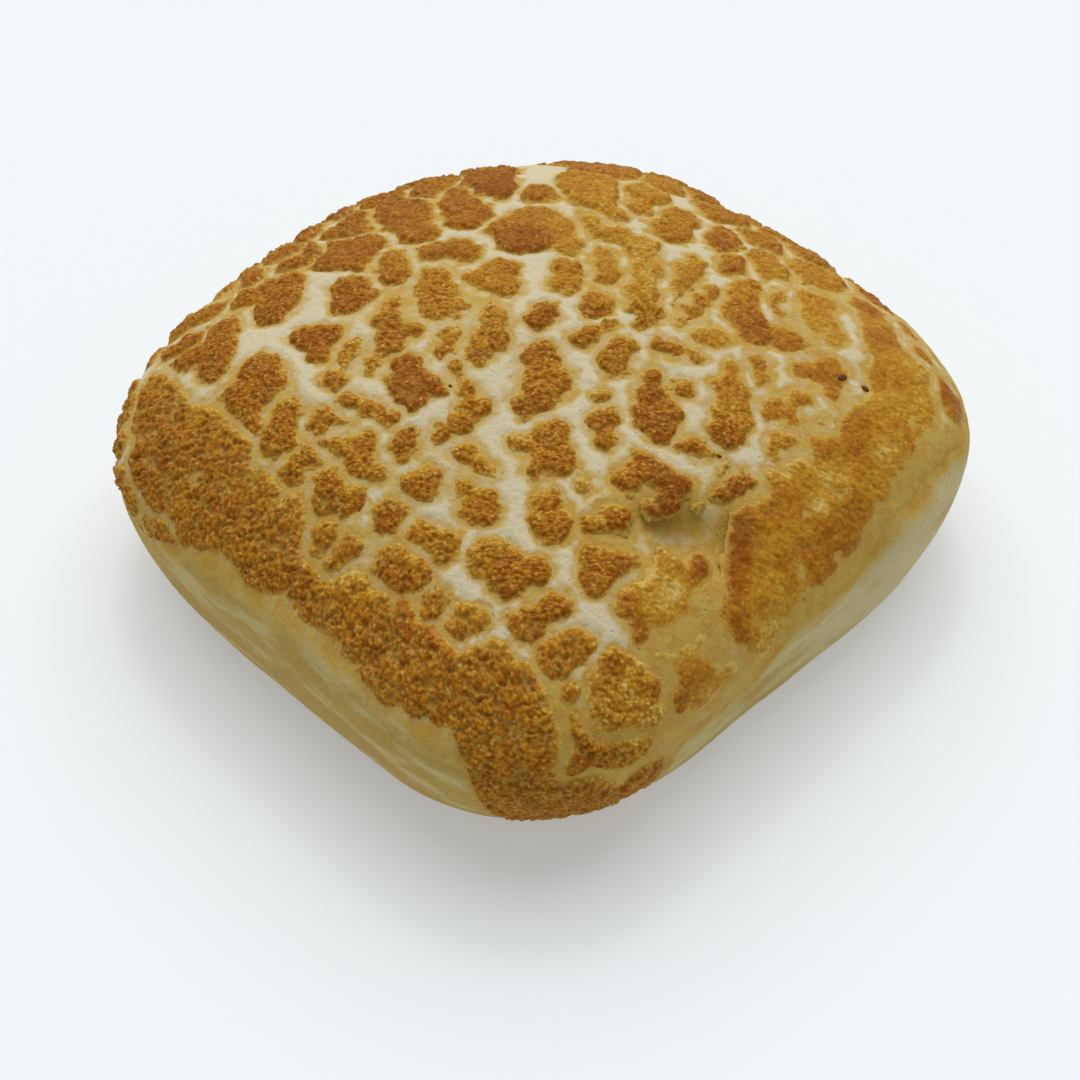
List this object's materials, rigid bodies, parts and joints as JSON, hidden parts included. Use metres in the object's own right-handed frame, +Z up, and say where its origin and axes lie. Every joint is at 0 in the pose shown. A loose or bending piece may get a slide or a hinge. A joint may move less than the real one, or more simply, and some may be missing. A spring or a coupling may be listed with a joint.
{
  "type": "tiger bread loaf",
  "caption": "Small square pillow-shaped white loaf whose golden rice-paste crust has cracked into plates, with pale pressed sides and a flat base.",
  "frame": {"origin": "middle of the loaf's footprint box, on the surface it rests on", "axes": "+Z up out of the crown, +Y along the slightly longer side, +X across; the fullest corner of the crust is at +X -Y"},
  "size_m": [0.1494, 0.1534, 0.0556],
  "materials": {
    "crust": "gritty golden brown baked rice paste, cracked into plates",
    "dough": "pale soft baked dough, finely pitted"
  },
  "bodies": {
    "root": {"loaf": "crust"}
  },
  "joints": []
}
